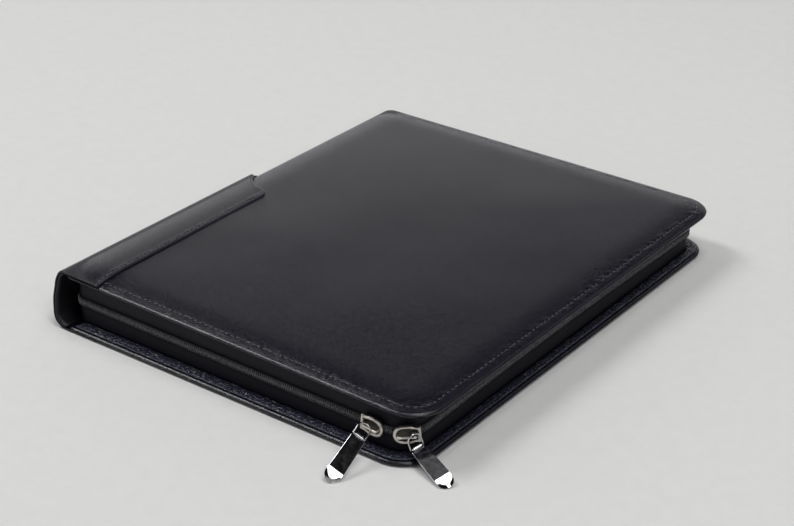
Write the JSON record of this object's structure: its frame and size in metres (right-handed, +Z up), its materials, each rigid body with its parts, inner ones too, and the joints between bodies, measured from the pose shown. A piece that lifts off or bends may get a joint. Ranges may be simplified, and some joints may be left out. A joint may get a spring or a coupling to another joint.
{
  "type": "leather document case",
  "caption": "Padded leather document case, closed and lying flat, with a zip gusset round its edge, a leather spine wrap and metal zip pulls.",
  "frame": {"origin": "on the flat underside of the lower cover, below the middle of the upper cover", "axes": "+X from the spine to the opening side, +Y from the front edge to the far edge, +Z up from the table to the upper cover"},
  "size_m": [0.3101, 0.3778, 0.0414],
  "materials": {
    "cover_leather": "satin black calf with a fine grain",
    "turned_leather": "glossy black leather with fine crinkles",
    "zip_tape": "matt black woven tape",
    "zip_coil": "black nylon coil, slightly shiny",
    "slider_metal": "nickel plated, slightly worn",
    "pull_metal": "polished dark nickel"
  },
  "bodies": {
    "case": {"top_cover": "cover_leather", "bottom_cover": "cover_leather", "top_turn_in": "turned_leather", "bottom_turn_in": "turned_leather", "spine_patch": "cover_leather", "spine_leather": "cover_leather", "zip_tape_upper": "zip_tape", "zip_tape_lower": "zip_tape", "spine_panel": "zip_tape", "zip_coil": "zip_coil", "slider_front": "slider_metal", "slider_corner": "slider_metal", "link_front": "pull_metal", "link_corner": "pull_metal"},
    "front_tab": {"tab_front": "pull_metal"},
    "corner_tab": {"tab_corner": "pull_metal"}
  },
  "joints": [
    {"name": "front_tab_hinge", "type": "hinge", "parent": "case", "child": "front_tab", "pos_m": [0.10269, -0.17828, 0.01521], "axis": [-0.7712, -0.2943, 0.5645], "range_deg": [0, 100]},
    {"name": "corner_tab_hinge", "type": "hinge", "parent": "case", "child": "corner_tab", "pos_m": [0.13139, -0.16174, 0.01025], "axis": [-0.3747, -0.8833, -0.2818], "range_deg": [0, 50]}
  ]
}
